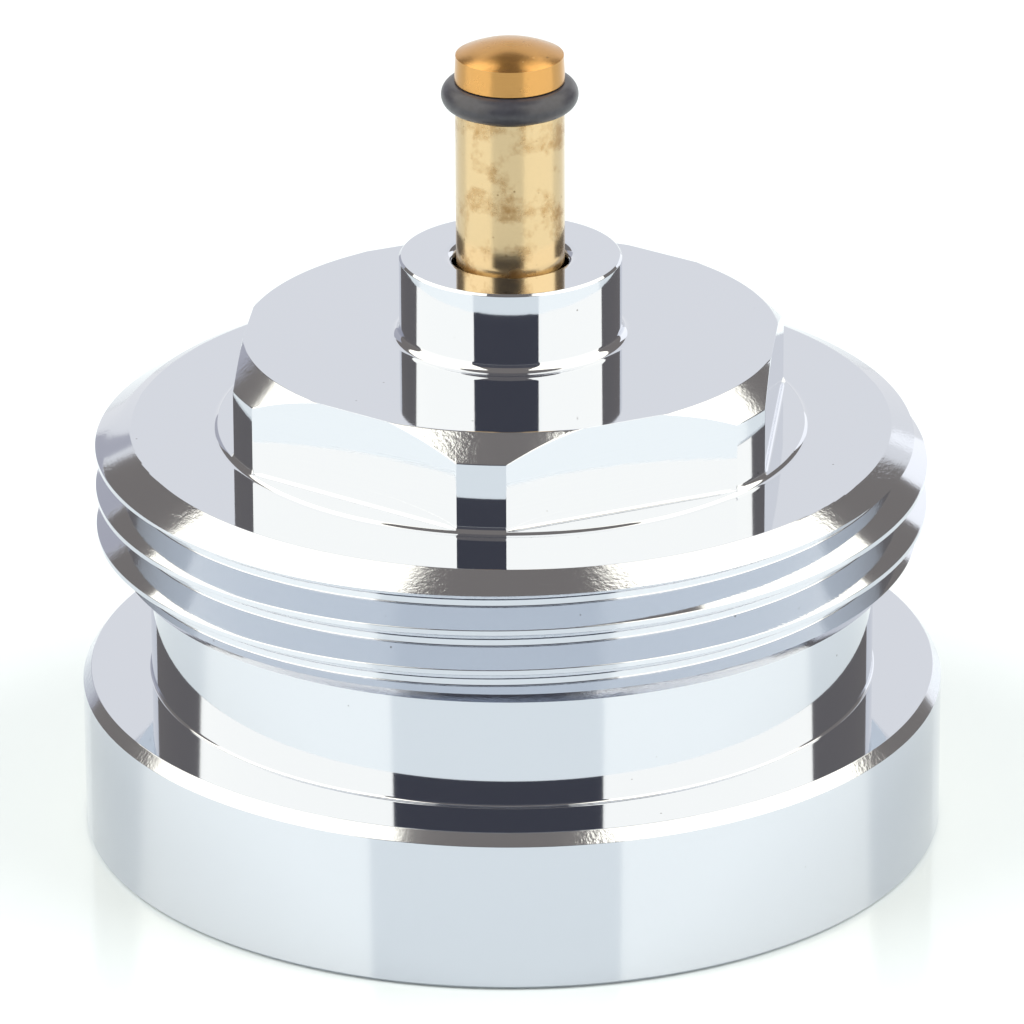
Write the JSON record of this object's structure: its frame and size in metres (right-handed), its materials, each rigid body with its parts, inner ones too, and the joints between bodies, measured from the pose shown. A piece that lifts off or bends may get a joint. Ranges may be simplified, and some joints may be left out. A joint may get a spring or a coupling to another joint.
{
  "type": "radiator valve adapter",
  "caption": "Chromed brass adapter that joins a radiator head to a valve, with a threaded flange, a hexagon and a sliding brass push pin in a guide boss.",
  "frame": {"origin": "centre of the ring's seat, the lowest face, on the common axis of both threads and the pin", "axes": "+Z along the pin towards its tip; one corner of the hexagon faces -Y within 6 degrees, as in the picture"},
  "size_m": [0.0312, 0.0312, 0.0298],
  "materials": {
    "chromed_brass": "bright chrome plate on turned and milled brass",
    "turned_brass": "turned, slightly stained",
    "black_rubber": "satin"
  },
  "bodies": {
    "housing": {"body": "chromed_brass"},
    "plunger": {"pin": "turned_brass", "o_ring": "black_rubber"}
  },
  "joints": [
    {"name": "pin_slide", "type": "slide", "parent": "housing", "child": "plunger", "axis": [0, 0, 1], "range_m": [-0.0055, 0]}
  ]
}
